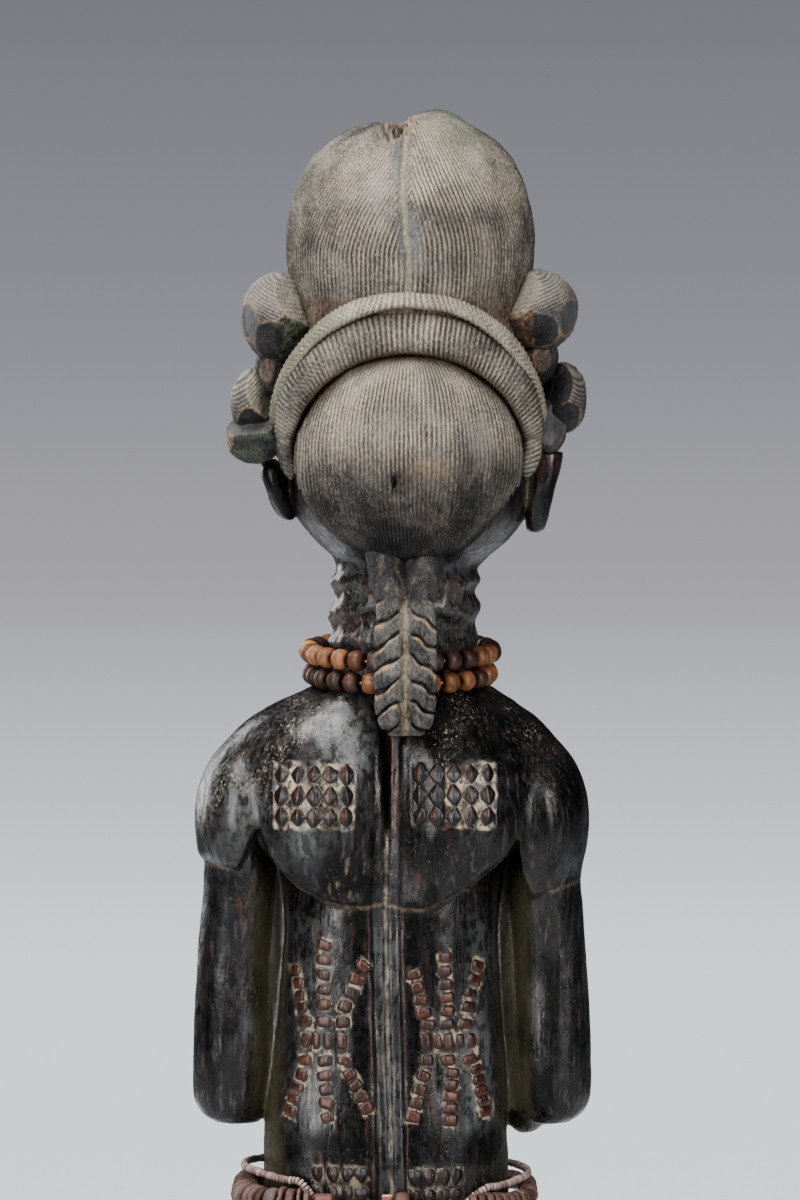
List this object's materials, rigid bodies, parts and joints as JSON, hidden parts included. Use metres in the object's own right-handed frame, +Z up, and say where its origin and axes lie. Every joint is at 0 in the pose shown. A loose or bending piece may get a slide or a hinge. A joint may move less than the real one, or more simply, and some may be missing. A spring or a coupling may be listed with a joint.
{
  "type": "carved wooden figure",
  "caption": "Standing carved wooden fertility figure with a grooved hairdress and plait, block scars on its back, a bead necklace and a beaded waist belt.",
  "frame": {"origin": "centre line of the body on the underside of the base", "axes": "+Z up from the base to the crest of the hair, -Y the way the face looks, +X the figure's left side"},
  "size_m": [0.12, 0.0952, 0.494],
  "materials": {
    "carved_wood": "dark oiled patina with a soft gloss, grey residue in the carved grooves",
    "thread": "twisted cotton thread, matt",
    "dark_bead_wood": "polished dark brown wood, satin",
    "tan_bead_wood": "polished orange-brown wood, satin",
    "amber_bead_wood": "polished yellow wood, satin",
    "belt_cord": "waxed twisted plant fibre, matt",
    "coconut_shell": "cut coconut shell, worn satin",
    "stone_bead": "opaque red-brown ground stone or powder glass, dull",
    "red_glass": "opaque brick-red drawn glass, worn",
    "striped_glass": "opaque red drawn glass with pale stripes, worn",
    "round_bead_wood": "dark turned wood, satin",
    "shell_disc": "ground shell, pinkish grey, chalky"
  },
  "bodies": {
    "figure": {"figure": "carved_wood"},
    "necklace_upper": {"necklace_upper_thread": "thread", "necklace_upper_dark_beads": "dark_bead_wood", "necklace_upper_tan_beads": "tan_bead_wood", "necklace_amber_bead": "amber_bead_wood"},
    "necklace_lower": {"necklace_lower_thread": "thread", "necklace_lower_dark_beads": "dark_bead_wood", "necklace_lower_tan_beads": "tan_bead_wood"},
    "waist_belt": {"belt_cord": "belt_cord", "belt_knot": "belt_cord", "belt_coconut_discs": "coconut_shell", "belt_stone_barrels": "stone_bead", "belt_small_discs": "coconut_shell", "shell_strand_upper": "shell_disc", "shell_strand_middle": "shell_disc", "shell_strand_lower": "shell_disc"},
    "red_tube_bead": {"belt_red_tube_bead": "red_glass"},
    "striped_tube_bead": {"belt_striped_tube_bead": "striped_glass"},
    "round_bead": {"belt_round_bead": "round_bead_wood"}
  },
  "joints": [
    {"name": "necklace_upper_turn", "type": "hinge", "parent": "figure", "child": "necklace_upper", "pos_m": [-0.0025, 0, 0.3316], "axis": [0, 0.0698, 0.9976], "continuous": true},
    {"name": "necklace_lower_turn", "type": "hinge", "parent": "figure", "child": "necklace_lower", "pos_m": [-0.0025, 0, 0.3249], "axis": [0, 0.0698, 0.9976], "continuous": true},
    {"name": "waist_belt_lift", "type": "slide", "parent": "figure", "child": "waist_belt", "axis": [0, 0, 1], "range_m": [0, 0.008]},
    {"name": "red_tube_slide", "type": "slide", "parent": "waist_belt", "child": "red_tube_bead", "axis": [-1, 0, 0], "range_m": [0, 0.007]},
    {"name": "striped_tube_slide", "type": "slide", "parent": "waist_belt", "child": "striped_tube_bead", "axis": [1, 0, 0], "range_m": [0, 0.005]},
    {"name": "round_bead_slide", "type": "slide", "parent": "waist_belt", "child": "round_bead", "axis": [-1, 0, 0], "range_m": [0, 0.013]}
  ]
}
